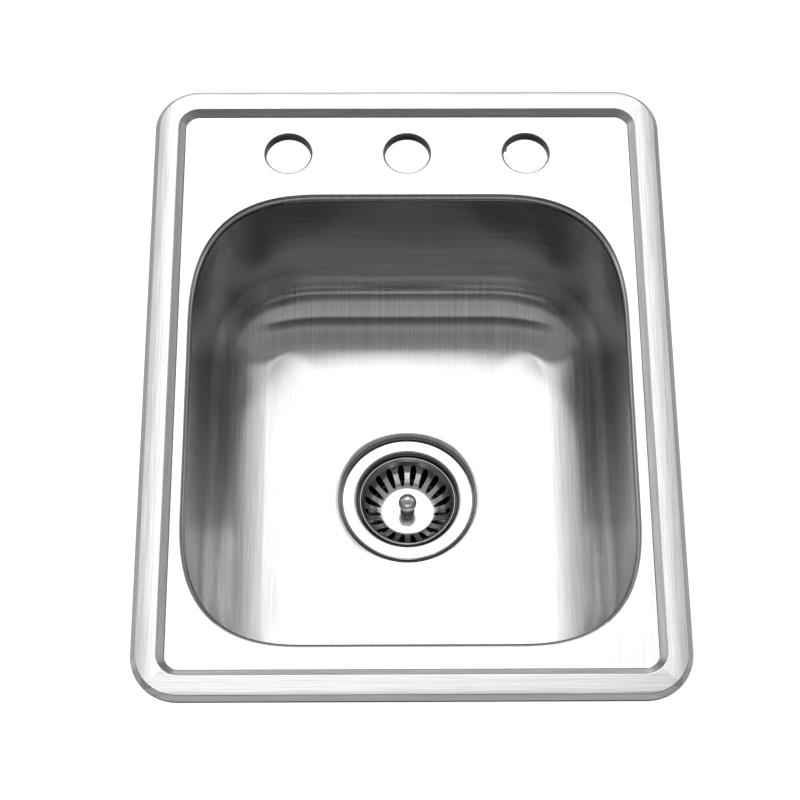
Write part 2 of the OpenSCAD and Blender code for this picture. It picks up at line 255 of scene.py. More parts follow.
def frame_ring(half, back, front, power, z, centre_y=0.0):
    """Anticlockwise ring round a rectangle with half sizes half and two pairs of rounded corners."""
    half = np.array(half)
    corners = {1: np.array(back), -1: np.array(front)}
    outline = []
    for sx, sy, upright in ((1, 1, True), (-1, 1, False), (-1, -1, True), (1, -1, False)):
        steps = SIDE_STEPS if upright else END_STEPS
        run = np.linspace(0, 1, steps, endpoint=False)[:, None]
        corner = corners[sy]
        last = (half - corner) * [sx, sy]
        if upright:
            first = (half - corners[-sy]) * [sx, -sy]
            curve = quarter(corner[0], corner[1], power)
        else:
            first = last * [-1, 1]
            curve = quarter(corner[1], corner[0], power)[:, ::-1]
        line = first + (last - first) * run
        line[:, 1 - upright] = (half * [sx, sy])[1 - upright]
        outline.append(line)
        outline.append(curve * [sx, sy] + last)
    outline = np.concatenate(outline)
    outline[:, 1] += centre_y
    return np.hstack([outline, np.full((len(outline), 1), z)])


def rim_ring(inset, z):
    half = np.array([HALF_W, HALF_D]) - inset
    corner = [RIM_CORNER - inset] * 2
    return frame_ring(half, corner, corner, 2, z)


def bowl_ring(inset, z):
    """Ring round the bowl; its corners grow tighter down the fillet."""
    share = np.clip((inset - wall_u(WALL_END_Z)) / FILLET_R, 0, 1)
    cut = inset + FILLET_TIGHTER * share
    return frame_ring(BOWL_HALF - inset, BACK_CORNER - cut, FRONT_CORNER - cut, CORNER_POWER, z,
                      DRAIN[1])


# The sink body

def rim_rings():
    path = [(0, 0), (0, RIM_LIP, 1.2), (RIM_BEVEL, RIM_TOP, 1.0), (RIM_BAND, RIM_TOP, 1.6),
            (RIM_INNER, DECK_Z, 1.8), (RIM_INNER + 2, DECK_Z)]
    return [rim_ring(u, z) for u, z in soften(path, closed=False)]


def hole_rings(x):
    """Faucet hole from the deck round its roll to the end of its collar."""
    end = DECK_Z - COLLAR
    path = [(HOLE_R + HOLE_ROLL + 0.6, DECK_Z)]
    path += arc((HOLE_R + HOLE_ROLL, DECK_Z - HOLE_ROLL), HOLE_ROLL, 90, 180, 8)
    path += [(HOLE_R, end + 0.2), (HOLE_R, end)]
    return [polar_ring(r, z, 72, np.array([x, HOLE_Y])) for r, z in path]


def bowl_rings():
    path = [(-1.0, DECK_Z), (-0.3, DECK_Z)]
    path += arc((0, ROLL_Z), ROLL_R, 90, math.degrees(DRAFT), 12)
    for share in (0.02, 0.35, 0.7, 0.97):
        z = WALL_TOP_Z + (WALL_END_Z - WALL_TOP_Z) * share
        path.append((wall_u(z), z))
    path += arc((FILLET_U, FLOOR_Z + FILLET_R), FILLET_R, 180 + math.degrees(DRAFT),
                270 - math.degrees(FLOOR_SLOPE), 40)
    return [bowl_ring(u, z) for u, z in path]


def floor_rings(edge):
    """Floor from the end of the fillet to the drain, then the recess that takes the flange.

    Its slope eases from steep at the fillet to gentle at the drain, by a third power.
    """
    away = edge[:, :2] - DRAIN
    length = np.linalg.norm(away, axis=1)
    outward = away / length[:, None]
    drop = FLOOR_EDGE_Z - DRAIN_EDGE_Z
    steep = np.minimum((length - DRAIN_EDGE_R) * math.tan(FLOOR_SLOPE), drop * 3.6)
    gentle = (4 * drop - steep) / 3
    rings = []
    for share in np.linspace(0, 1, 21)[1:]:
        flat = away * (1 - share) + outward * DRAIN_EDGE_R * share
        z = FLOOR_EDGE_Z - gentle * share - (steep - gentle) / 4 * (1 - (1 - share) ** 4)
        rings.append(np.hstack([DRAIN + flat, z[:, None]]))
    recess = soften([(DRAIN_EDGE_R, DRAIN_EDGE_Z), (RECESS_R + 0.4, RECESS_Z + 1.9, 0.8),
                     (RECESS_R, RECESS_Z, 0.8), (DRAIN_HOLE_R, RECESS_Z)], closed=False)
    for r, z in recess[1:]:
        rings.append(np.hstack([DRAIN + outward * r, np.full((len(outward), 1), z)]))
    return rings


def add_rings(work, rings):
    loops = [[work.verts.new(Vector(p) * MM) for p in ring] for ring in rings]
    for outer, inner in zip(loops, loops[1:]):
        for i in range(len(outer)):
            n = (i + 1) % len(outer)
            work.faces.new((outer[i], outer[n], inner[n], inner[i]))
    return loops


def loop_edges(work, loop):
    return [work.edges.get((loop[i - 1], loop[i])) for i in range(len(loop))]


def sink_body():
    work = bmesh.new()
    rim = add_rings(work, rim_rings())
    bowl = bowl_rings()
    bowl_loops = add_rings(work, bowl + floor_rings(bowl[-1]))
    edges = loop_edges(work, rim[-1]) + loop_edges(work, bowl_loops[0])
    for place in (-1, 0, 1):
        hole = add_rings(work, hole_rings(place * HOLE_PITCH))
        edges += loop_edges(work, hole[0])
    bmesh.ops.triangle_fill(work, use_beauty=True, use_dissolve=False, edges=edges,
                            normal=(0, 0, 1))
    mesh = bpy.data.meshes.new("sink_body")
    work.to_mesh(mesh)
    work.free()
    obj = link("sink_body", mesh)
    thicken(obj, SHEET)
    return obj


# Materials

class Graph:
    """A material's nodes, with short ways to add them. Lengths in it are millimetres."""

    def __init__(self, name):
        self.material = bpy.data.materials.new(name)
        self.material.use_nodes = True
        self.nodes = self.material.node_tree.nodes
        self.links = self.material.node_tree.links
        self.nodes.clear()
        self.coords = self.node("ShaderNodeTexCoord").outputs["Object"]
        self.place = self.vector("SCALE", self.coords, scale=1 / MM)
        split = self.node("ShaderNodeSeparateXYZ", {"Vector": self.place})
        self.x, self.y, self.z = split.outputs
        normal = self.node("ShaderNodeNewGeometry").outputs["Normal"]
        self.normal_parts = self.node("ShaderNodeSeparateXYZ", {"Vector": normal}).outputs

    def put(self, socket, value):
        if isinstance(value, bpy.types.NodeSocket):
            self.links.new(value, socket)
        elif value is not None:
            socket.default_value = value

    def node(self, kind, inputs=None, **settings):
        made = self.nodes.new(kind)
        for key, value in settings.items():
            setattr(made, key, value)
        for key, value in (inputs or {}).items():
            self.put(made.inputs[key], value)
        return made

    def math(self, operation, a, b=None, c=None):
        made = self.node("ShaderNodeMath", operation=operation)
        for socket, value in zip(made.inputs, (a, b, c)):
            self.put(socket, value)
        return made.outputs[0]

    def vector(self, operation, a, b=None, scale=None):
        made = self.node("ShaderNodeVectorMath", operation=operation)
        self.put(made.inputs[0], a)
        self.put(made.inputs[1], b)
        if scale is not None:
            self.put(made.inputs["Scale"], scale)
        return made.outputs[0]

    def smooth(self, value, start, end, low=0.0, high=1.0):
        """Smooth step of value, from low at start to high at end."""
        made = self.node("ShaderNodeMapRange", interpolation_type="SMOOTHSTEP")
        for socket, number in zip(made.inputs, (value, start, end, low, high)):
            self.put(socket, number)
        return made.outputs[0]

    def noise(self, stretch, detail, place=None):
        """Noise whose features are about 1 / stretch millimetres along each axis."""
        where = self.vector("MULTIPLY", place or self.place, stretch)
        made = self.node("ShaderNodeTexNoise", {"Vector": where, "Scale": 1.0, "Detail": detail})
        return made.outputs["Fac"]

    def blend(self, share, a, b):
        """a where share is 0, b where it is 1."""
        made = self.node("ShaderNodeMix", {0: share, 2: a, 3: b})
        return made.outputs[0]

    def colour(self, share, a, b):
        made = self.node("ShaderNodeMix", data_type="RGBA")
        self.put(made.inputs[0], share)
        self.put(made.inputs[6], (*a, 1) if isinstance(a, tuple) else a)
        self.put(made.inputs[7], (*b, 1) if isinstance(b, tuple) else b)
        return made.outputs[2]

    def bump(self, height, depth):
        """Normal from a height whose full range is depth millimetres."""
        made = self.node("ShaderNodeBump", {"Height": height, "Distance": depth * MM,
                                            "Strength": 1.0})
        return made.outputs["Normal"]

    def product(self, first, *rest):
        for factor in rest:
            first = self.math("MULTIPLY", first, factor)
        return first

    def length(self, a, b):
        return self.math("SQRT", self.math("ADD", self.product(a, a), self.product(b, b)))

    def radial(self):
        """Distance from the drain's axis."""
        return self.length(self.x, self.math("SUBTRACT", self.y, float(DRAIN[1])))

    def join(self, x, y, z):
        made = self.node("ShaderNodeCombineXYZ", {"X": x, "Y": y, "Z": z})
        return made.outputs[0]

    def finish(self, **inputs):
        shader = self.node("ShaderNodeBsdfPrincipled")
        for key, value in inputs.items():
            if isinstance(value, tuple) and len(value) == 3:
                value = (*value, 1)
            self.put(shader.inputs[key.replace("_", " ")], value)
        output = self.node("ShaderNodeOutputMaterial")
        self.links.new(shader.outputs[0], output.inputs["Surface"])
        return self.material


def brush_lines(g, upright, ends, scale):
    """Height of the brushing, with marks about 1 / scale millimetres apart."""
    slow = scale * 0.012
    along_y = g.noise((scale, slow, slow), 3)
    along_x = g.noise((slow, scale, slow), 3)
    around = g.noise((slow, slow, scale), 3)
    return g.blend(upright, g.blend(ends, along_y, along_x), around)


def brush_tangent(g, upright, ends):
    """Direction across the brushing."""
    mix = g.node("ShaderNodeMix", data_type="VECTOR")
    g.put(mix.inputs[0], upright)
    g.put(mix.inputs[4], g.join(g.blend(ends, 1.0, 0.0), ends, 0.0))
    g.put(mix.inputs[5], (0.0, 0.0, 1.0))
    return mix.outputs[1]


def rim_tone(g, fine, side_gap, end_gap, on_rim):
    """Rim's flat faces darker towards its outer edges, a painted highlight on its outer bevel and
    painted shade on its lip.
    """
    grain = g.math("MULTIPLY", g.math("SUBTRACT", fine, 0.5), 8.0)
    # Flat faces grow darker towards the rim's outer edges, raggedly by the grain.
    side_edge_dimming = g.smooth(g.math("ADD", side_gap, grain), 3.0, 20.0, 0.5, 0.9)
    end_edge_dimming = g.smooth(g.math("ADD", end_gap, grain), 2.0, 9.0, 0.6, 1.0)
    flat = g.smooth(g.normal_parts[2], 0.8, 0.95)
    outer = g.math("LESS_THAN", g.math("MINIMUM", side_gap, end_gap), RIM_BAND / 2)
    # Painted highlight: the sloping faces near the rim's outer edge are brightened 1.4 times.
    edge = g.blend(flat, g.blend(outer, 1.0, 1.4), g.product(side_edge_dimming, end_edge_dimming))
    # Painted shade: the rim's lip is darkened to 0.12 below RIM_LIP.
    lip = g.smooth(g.z, RIM_LIP - 0.5, RIM_LIP, 0.12, 1.0)
    return g.blend(on_rim, 1.0, g.product(edge, lip))


def in_faucet_hole(g):
    """1 in the faucet holes, 0 away from them."""
    column = g.math("ABSOLUTE", g.x)
    dx = g.math("MINIMUM", column, g.math("ABSOLUTE", g.math("SUBTRACT", column, HOLE_PITCH)))
    dy = g.math("SUBTRACT", g.y, float(HOLE_Y))
    return g.smooth(g.length(dx, dy), HOLE_R + 1.6, HOLE_R + 0.6)


def painted_roll_shade(g, on_rim, beside):
    """Painted shade: dark lines at the top and the foot of the roll into the bowl, darker along its
    sides.
    """
    below = g.math("SUBTRACT", float(DECK_Z), g.z)
    top = g.product(g.smooth(below, 0.05, 0.15), g.smooth(below, 0.9, 0.6))
    foot = g.product(g.smooth(below, 2.6, 3.2), g.smooth(below, 6.5, 5.5))
    rolled = g.product(g.math("ADD", top, foot), g.math("SUBTRACT", 1.0, on_rim))
    return g.blend(rolled, 1.0, g.blend(beside, 0.5, 0.3))


def painted_wall_light(g):
    """Painted shade on the back wall and painted highlight on the side walls of the bowl, on their
    inner faces.
    """
    nx, ny, nz = g.normal_parts
    slant = g.math("SQRT", g.math("SUBTRACT", 1.0001, g.math("POWER", nz, 2.0)))
    facing = g.product(g.smooth(g.math("DIVIDE", ny, slant), -0.2, -0.75), g.smooth(nz, 0.67, 0.58),
                       g.math("GREATER_THAN", g.y, 0.0))
    inward = g.product(nx, g.math("SIGN", g.x))
    return g.product(g.blend(facing, 1.0, 0.5), g.smooth(inward, -0.8, -0.95, 1.0, 1.4))


def painted_drain_shade(g, recess):
    """Painted shade in the recess round the strainer, with a painted dark line at its edge."""
    off = g.math("ABSOLUTE", g.math("SUBTRACT", g.radial(), DRAIN_EDGE_R - 0.2))
    return g.product(g.blend(recess, 1.0, 0.6), g.blend(g.smooth(off, 0.7, 0.2), 1.0, 0.5))


def brushed_steel():
    """Satin sheet: lines run front to back, along the rim at its ends, and round the walls."""
    g = Graph("brushed_steel")
    upright = g.smooth(g.math("ABSOLUTE", g.normal_parts[2]), 0.45, 0.12)
    side_gap = g.math("SUBTRACT", float(HALF_W), g.math("ABSOLUTE", g.x))
    end_gap = g.math("SUBTRACT", float(HALF_D), g.math("ABSOLUTE", g.y))
    on_rim = g.math("LESS_THAN", g.math("MINIMUM", side_gap, end_gap), RIM_INNER)
    ends = g.product(g.math("LESS_THAN", end_gap, RIM_INNER), g.math("LESS_THAN", end_gap, side_gap))
    beside = g.math("LESS_THAN", side_gap, end_gap)
    in_hole = in_faucet_hole(g)
    recess = g.smooth(g.radial(), DRAIN_EDGE_R + 0.3, DRAIN_EDGE_R - 0.3)

    fine = brush_lines(g, upright, ends, 1.6)
    broad = brush_lines(g, upright, ends, 0.3)
    streak = g.smooth(g.blend(0.35, fine, broad), 0.2, 0.8)
    cloud = g.noise((0.012, 0.008, 0.012), 2)
    # Painted shade: inside the faucet holes the base colour is darkened to 0.45.
    tone = g.product(rim_tone(g, fine, side_gap, end_gap, on_rim), g.blend(in_hole, 1.0, 0.45),
                     painted_roll_shade(g, on_rim, beside), painted_wall_light(g), painted_drain_shade(g, recess))
    base = g.vector("SCALE", g.colour(streak, (0.52, 0.52, 0.525), (0.80, 0.80, 0.80)), scale=tone)
    rough = g.math("MULTIPLY_ADD", streak, 0.05, g.blend(upright, 0.17, 0.14))
    rough = g.math("ADD", rough, g.smooth(cloud, 0.3, 0.7, 0, 0.02))
    rough = g.blend(recess, g.blend(in_hole, rough, 0.45), 0.3)
    return g.finish(Base_Color=base, Metallic=1.0, Roughness=rough,
                    Anisotropic=g.blend(upright, 0.88, 0.3), Tangent=brush_tangent(g, upright, ends),
                    Normal=g.bump(fine, 0.006))


def turned_steel(name, painted_shade_levels, radii, roughness):
    """Spun steel: fine rings about the drain's axis, with painted shade set by a level at each of
    two radii.
    """
    g = Graph(name)
    pitch = 0.5
    rings = g.noise((1, 1, 1), 2, g.join(g.math("MULTIPLY", g.radial(), 1 / pitch),
                                         g.math("MULTIPLY", g.z, 1 / pitch), 0.0))
    smudge = g.noise((0.09, 0.09, 0.09), 3)
    share = g.smooth(g.blend(0.4, rings, smudge), 0.25, 0.75)
    # Painted shade that changes between the two radii.
    tone = g.smooth(g.radial(), radii[0], radii[1], painted_shade_levels[0], painted_shade_levels[1])
    base = g.vector("SCALE", g.colour(share, (0.9, 0.9, 0.9), (1.0, 1.0, 0.995)), scale=tone)
    rough = g.math("MULTIPLY_ADD", share, roughness * 0.5, roughness * 0.75)
    return g.finish(Base_Color=base, Metallic=1.0, Roughness=rough, Normal=g.bump(rings, 0.004))


def mill_steel():
    """Plain rolled sheet of the clip rails, with faint roller lines and dull patches."""
    g = Graph("mill_steel")
    grain = g.noise((0.5, 0.5, 1.8), 3)
    patch = g.noise((0.03, 0.03, 0.03), 3)
    base = g.colour(g.smooth(patch, 0.3, 0.7), (0.42, 0.43, 0.44), (0.55, 0.56, 0.57))
    rough = g.math("MULTIPLY_ADD", grain, 0.2, 0.32)
    return g.finish(Base_Color=base, Metallic=1.0, Roughness=rough, Normal=g.bump(grain, 0.01))


def plated_zinc(name, tint, roughness):
    """Bright zinc plating with its mottled, slightly blue sheen."""
    g = Graph(name)
    flake = g.node("ShaderNodeTexVoronoi", {"Vector": g.place, "Scale": 0.45}).outputs["Distance"]
    mottle = g.noise((0.25, 0.25, 0.25), 4)
    share = g.smooth(g.blend(0.5, flake, mottle), 0.25, 0.7)
    dark = tuple(c * 0.72 for c in tint)
    base = g.colour(share, dark, tint)
    rough = g.math("MULTIPLY_ADD", mottle, 0.18, roughness)
    return g.finish(Base_Color=base, Metallic=1.0, Roughness=rough, Normal=g.bump(mottle, 0.02))


def chrome(name, roughness=0.06, neck=-1000.0):
    """Polished plating with a few wiping marks, and painted shade below the height of the neck."""
    g = Graph(name)
    marks = g.noise((0.05, 0.05, 0.4), 4)
    base = g.colour(g.smooth(marks, 0.3, 0.7), (0.84, 0.85, 0.86), (0.94, 0.94, 0.95))
    # Painted shade: below the neck the base colour drops to 0.25.
    base = g.vector("SCALE", base, scale=g.smooth(g.z, neck - 0.6, neck + 0.6, 0.25, 1.0))
    rough = g.math("MULTIPLY_ADD", marks, 0.12, roughness)
    return g.finish(Base_Color=base, Metallic=1.0, Roughness=rough, Normal=g.bump(marks, 0.004))


def moulded(name, dark, light, roughness, grain, depth):
    """Rubber, nylon or other moulded material with a fine even texture."""
    g = Graph(name)
    texture = g.noise((grain, grain, grain), 3)
    patch = g.noise((0.05, 0.05, 0.05), 3)
    share = g.smooth(g.blend(0.5, texture, patch), 0.3, 0.7)
    base = g.colour(share, dark, light)
    rough = g.math("MULTIPLY_ADD", texture, 0.2, roughness)
    return g.finish(Base_Color=base, Roughness=rough, Normal=g.bump(texture, depth))


def foam():
    """Closed-cell strip: small round cells."""
    g = Graph("rim_foam")
    cell = g.node("ShaderNodeTexVoronoi", {"Vector": g.place, "Scale": 1.6}).outputs["Distance"]
    base = g.colour(g.smooth(cell, 0.1, 0.6), (0.035, 0.036, 0.038), (0.075, 0.076, 0.08))
    return g.finish(Base_Color=base, Roughness=0.85, Normal=g.bump(cell, 0.25))


def fibre():
    """Pressed paper ring with fine fibres."""
    g = Graph("fibre")
    strands = g.noise((0.9, 0.12, 0.9), 4)
    cross = g.noise((0.12, 0.9, 0.9), 4)
    share = g.smooth(g.blend(0.5, strands, cross), 0.35, 0.65)
    base = g.colour(share, (0.30, 0.19, 0.10), (0.46, 0.32, 0.19))
    return g.finish(Base_Color=base, Roughness=0.85, Normal=g.bump(share, 0.05))


# Everything below rides on the sink

def gasket():
    section = soften([(1.9, 0.1, 0.3), (7.5, 0.1, 0.5), (7.5, 5.15, 0.4), (4.3, 5.15, 0.4),
                      (1.9, 2.85, 0.4)], steps=3, margin=0.05)
    return solid("rim_gasket", *skin([rim_ring(u, z) for u, z in section]))


def wall_out(axis, side, along, z):
    """Outward distance of the bowl's outer face from its centre, at a place along one wall."""
    u = wall_u(z)
    corner = BACK_CORNER if (along if axis == 0 else side) > 0 else FRONT_CORNER
    across = 1 - axis
    past = max(0.0, abs(along) - BOWL_HALF[across] + corner[across]) / (corner[across] - u)
    bend = (corner[axis] - u) * (1 - (1 - past ** CORNER_POWER) ** (1 / CORNER_POWER))
    return BOWL_HALF[axis] - u + SHEET / math.cos(DRAFT) - bend


def pad(name, axis, side):
    """Rubber pad on one wall; axis is 0 for the left and right walls and 1 for the ends."""
    across = 1 - axis
    half_length = (high(name) - low(name))[across] / 2
    top, bottom = high(name)[2], low(name)[2]
    half_height = (top - bottom) / 2
    rings = []
    for thickness, shrink in ((0.05, 0.0), (2.2, 0.0), (2.7, 0.25), (2.95, 0.9), (3.0, 3.0)):
        ring = []
        outline = soften([(sx * (half_length - shrink), sz * (half_height - shrink), 7 - shrink)
                          for sx, sz in ((1, 1), (-1, 1), (-1, -1), (1, -1))], steps=8)
        for a, b in zip(outline, outline[1:] + outline[:1]):
            pieces = max(1, int(np.linalg.norm(b - a) // 6))
            for k in range(pieces):
                along, up = a + (b - a) * k / pieces
                z = (top + bottom) / 2 + up
                out = wall_out(axis, side, along, z) + thickness
                point = np.zeros(3)
                point[axis] = side * out
                point[across] = along
                point[1] += DRAIN[1]
                point[2] = z
                ring.append(point)
        rings.append(ring)
    return solid(name, *skin(rings, closed=False))


def rail(name):
    """Rolled channel with its slot downward, along its longer side."""
    lo, hi = low(name), high(name)
    along = 0 if hi[0] - lo[0] > hi[1] - lo[1] else 1
    across = 1 - along
    half = (hi[across] - lo[across]) / 2
    top, bottom = hi[2], lo[2]
    slot = 3.6
    thick = 1.0
    section = soften([(half, top, 1.6), (half, bottom, 1.6), (slot, bottom, 0.3),
                      (slot, bottom + thick, 0.3), (half - thick, bottom + thick, 0.6),
                      (half - thick, top - thick, 0.6), (thick - half, top - thick, 0.6),
                      (thick - half, bottom + thick, 0.6), (-slot, bottom + thick, 0.3),
                      (-slot, bottom, 0.3), (-half, bottom, 1.6), (-half, top, 1.6)],
                     steps=4, margin=0.02)
    centre = (lo[across] + hi[across]) / 2
    rings = []
    for end in (lo[along], hi[along]):
        ring = np.zeros((len(section), 3))
        ring[:, along] = end
        ring[:, across] = centre + np.array(section)[:, 0]
        ring[:, 2] = np.array(section)[:, 1]
        rings.append(ring)
    return solid(name, *skin(rings, closed=False))


def threads(radius, depth, start, end):
    """Section points of thread ridges between two heights."""
    pitch = 2.0
    count = max(1, int(abs(end - start) // pitch))
    step = (end - start) / count
    points = []
    for i in range(count):
        z = start + i * step
        points += [(radius - depth, z + step * 0.05), (radius, z + step * 0.4),
                   (radius, z + step * 0.6), (radius - depth, z + step * 0.95)]
    return points


# Strainer sizes, from its own nodes
FLANGE_R = radius_of("strainer_body")
FLANGE_TOP = high("strainer_body")[2]
NECK_Z = low("strainer_body")[2]
SEAT_Z = low("stopper_seal")[2]
NUT_TOP = high("strainer_locknut")[2]
CUP_R = 41
THREAD_R = 42.8
MOUTH_R = 43.2
MOUTH_W = 4.4
MOUTH_H = 2.6
OUTLET_R = 20
NECK_R = 23.8


def strainer_body():
    """Flange, mouth, cup and outlet inside; threaded neck and cup outside."""
    under = FLANGE_TOP - 1.6
    mouth_low = RECESS_Z - 2.4
    step_z = SEAT_Z - 9
    neck_bore = 18.5
    cup_under = SEAT_Z - 3
    plain_r = 44.2
    section = [(FLANGE_R, under), (FLANGE_R, FLANGE_TOP - 0.9), (FLANGE_R - 0.9, FLANGE_TOP, 0.8)]
    section += [(MOUTH_R + MOUTH_W * (1 - math.sin(a)), FLANGE_TOP - MOUTH_H * (1 - math.cos(a)))
                for a in np.linspace(0, math.pi / 2, 10)]
    section += [(MOUTH_R, mouth_low, 0.3), (CUP_R, mouth_low, 0.5), (CUP_R, SEAT_Z + 7, 5),
                (35, SEAT_Z, 4), (OUTLET_R, SEAT_Z, 1.2), (OUTLET_R, step_z), (neck_bore, step_z),
                (neck_bore, NECK_Z), (NECK_R - 0.8, NECK_Z)]
    section += threads(NECK_R, 0.6, NECK_Z + 0.4, NECK_Z + 20)
    section += [(NECK_R - 0.6, cup_under, 1.5), (36, cup_under, 4),
                (THREAD_R - 0.7, SEAT_Z + 3.6, 2)]
    section += threads(THREAD_R, 0.6, SEAT_Z + 5, NUT_TOP - 1)
    section += [(plain_r, NUT_TOP), (plain_r, under)]
    return revolve("strainer_body", section, 128)


def lugged(radius, height, count, half_width, rise, steps):
    """Outline of a nut with lugs: its radius at each of the steps round it."""
    pitch = TURN / count
    angles = np.arange(steps) * TURN / steps
    off = np.abs((angles + pitch / 2) % pitch - pitch / 2) * radius
    share = np.clip((half_width - off) / rise, 0, 1)
    return radius + height * share * share * (3 - 2 * share)


def locknut():
    node = "strainer_locknut"
    top, bottom = high(node)[2], low(node)[2]
    steps = 288
    outer = lugged(50, 4.4, 6, 6.6, 1.6, steps)
    rings = [(THREAD_R + 0.4, bottom), (outer - 1.2, bottom), (outer - 0.35, bottom + 0.35),
             (outer, bottom + 1.2), (outer, top - 1.2), (outer - 0.35, top - 0.35),
             (outer - 1.2, top), (THREAD_R + 0.1, top), (THREAD_R + 0.1, bottom + 0.4)]
    return solid(node, *skin([polar_ring(r, z, steps) for r, z in rings]))


def coupling_nut():
    node = "coupling_nut"
    top, bottom = high(node)[2], low(node)[2]
    lip = bottom + 3.5
    lip_r = 22
    body = 28
    steps = 240
    outer = lugged(body, 2.5, 8, 4.4, 1.2, steps)
    rings = [(lip_r, bottom), (body - 1.6, bottom), (outer - 0.6, bottom + 0.6),
             (outer, bottom + 1.6), (outer, top - 3), (outer - 0.3, top - 2.3),
             (body - 0.8, top - 1.0), (body - 1, top), (NECK_R + 0.5, top),
             (NECK_R + 0.1, top - 0.5), (NECK_R + 0.1, lip), (lip_r, lip)]
    return solid(node, *skin([polar_ring(r, z, steps) for r, z in rings]))


def tailpiece():
    node = "tailpiece"
    top, end = high(node)[2], low(node)[2]
    outer = 19.05
    inner = outer - 1.0
    lip = top - 1.5
    return revolve(node, [(inner, top), (radius_of(node), top, 0.3), (radius_of(node), lip, 0.3),
                          (21.2, lip, 0.8), (outer, lip - 4.5, 2), (outer, end + 4),
                          (outer - 0.15, end + 0.6, 0.2), (outer - 0.3, end), (inner, end)])


def plain_ring(node, inner, soft, steps=96, centre=DRAIN):
    """Ring that fills its node's height and outer radius, with softened edges."""
    top, bottom = high(node)[2], low(node)[2]
    outer = radius_of(node)
    return revolve(node, [(inner, bottom, soft), (outer, bottom, soft), (outer, top, soft),
                          (inner, top, soft)], steps, centre, 3)


def putty():
    node = "flange_putty"
    top, bottom = high(node)[2], low(node)[2]
    inner, outer = DRAIN_HOLE_R + 0.2, radius_of(node)
    return revolve(node, [(inner, bottom), (outer, bottom, 0.12), (outer + 0.1, top, 0.12),
                          (inner, top)])


# The catch and the basket

POST_R = 3.2


def catch_bush():
    node = "catch_bush"
    top, bottom = high(node)[2], low(node)[2]
    outer = 5.12
    ledge = top - 0.8
    return revolve(node, [(POST_R + 0.08, bottom, 0.2), (outer, bottom, 0.4), (outer, ledge),
                          (6.5, ledge, 0.2), (6.5, top, 0.3), (POST_R + 0.08, top, 0.2)], 48)


BASKET_T = 0.8
BASKET_RIM = high("basket")[2] - 0.1
BASKET_FLOOR = low("basket")[2] + BASKET_T
SLOTS = 20
SLOT_START = 23.2
SLOT_END = 37.8
SLOT_SHARE = 0.54
SLOT_POWER = 2.2
TILE_MARGIN = 0.9
TILE_ACROSS = 8
TILE_ALONG = 18
TILE_LAYERS = 6


def basket_path():
    """Basket's inner face as points from the post out to the rim, and the lengths along them."""
    shape = soften([(POST_R + 0.1, BASKET_FLOOR), (23.8, BASKET_FLOOR, 9),
                    (33.4, BASKET_FLOOR + 7.9, 7), (37.4, BASKET_FLOOR + 13.4, 4),
                    (39.0, BASKET_RIM - 2.2, 1.0), (40.6, BASKET_RIM - 0.4, 0.3),
                    (40.9, BASKET_RIM, 0.1), (41.5, BASKET_RIM, 0.2),
                    (radius_of("basket"), BASKET_RIM - 0.7)],
                   closed=False, steps=8)
    points = np.array(shape)
    length = np.concatenate([[0], np.cumsum(np.linalg.norm(np.diff(points, axis=0), axis=1))])
    return points, length


def basket():
    path, length = basket_path()

    def at(angle, distance):
        r = np.interp(distance, length, path[:, 0])
        z = np.interp(distance, length, path[:, 1])
        return np.stack([DRAIN[0] + r * np.cos(angle), DRAIN[1] + r * np.sin(angle), z], axis=-1)

    start = np.interp(SLOT_START, path[:, 0], length) - TILE_MARGIN
    end = np.interp(SLOT_END, path[:, 0], length) + TILE_MARGIN
    work = bmesh.new()

    def face(points):
        work.faces.new([work.verts.new(Vector(p) * MM) for p in points])

    across = np.linspace(-1, 1, TILE_ACROSS + 1)
    along = np.linspace(-1, 1, TILE_ALONG + 1)
    border = [(p, -1) for p in across[:-1]] + [(1, q) for q in along[:-1]]
    border += [(-p, 1) for p in across[:-1]] + [(-1, -q) for q in along[:-1]]
    border = np.array(border)
    hole = np.array([SLOT_SHARE, 1 - 2 * TILE_MARGIN / (end - start)])
    direction = border / np.linalg.norm(border, axis=1)[:, None]
    reach = (np.abs(direction / hole) ** SLOT_POWER).sum(axis=1) ** (-1 / SLOT_POWER)
    inner = direction * reach[:, None]
    half_pitch = TURN / SLOTS / 2
    columns = TILE_ACROSS * SLOTS
    inside = [s for s in length if s < start - 0.2] + [start]
    outside = [end] + [s for s in length if s > end + 0.2]
    for stretch in (inside, outside):
        grid = [at(np.arange(columns) * TURN / columns, np.full(columns, s)) for s in stretch]
        for a, b in zip(grid, grid[1:]):
            for i in range(columns):
                n = (i + 1) % columns
                face((b[i], b[n], a[n], a[i]))
    for slot in range(SLOTS):
        centre = (2 * slot + 1) * half_pitch
        layers = []
        for share in np.linspace(0, 1, TILE_LAYERS):
            p, q = (border * (1 - share) + inner * share).T
            layers.append(at(centre + p * half_pitch, (start + end) / 2 + q * (end - start) / 2))
        for a, b in zip(layers, layers[1:]):
            for i in range(len(border)):
                n = (i + 1) % len(border)
                face((a[i], b[i], b[n], a[n]))
    bmesh.ops.remove_doubles(work, verts=work.verts, dist=2e-6)
    bmesh.ops.recalc_face_normals(work, faces=work.faces)
    work.faces.ensure_lookup_table()
    if work.faces[0].normal.z < 0:
        bmesh.ops.reverse_faces(work, faces=work.faces)
    mesh = bpy.data.meshes.new("basket")
    work.to_mesh(mesh)
    work.free()
    obj = link("basket", mesh)
    thicken(obj, BASKET_T)
    return obj


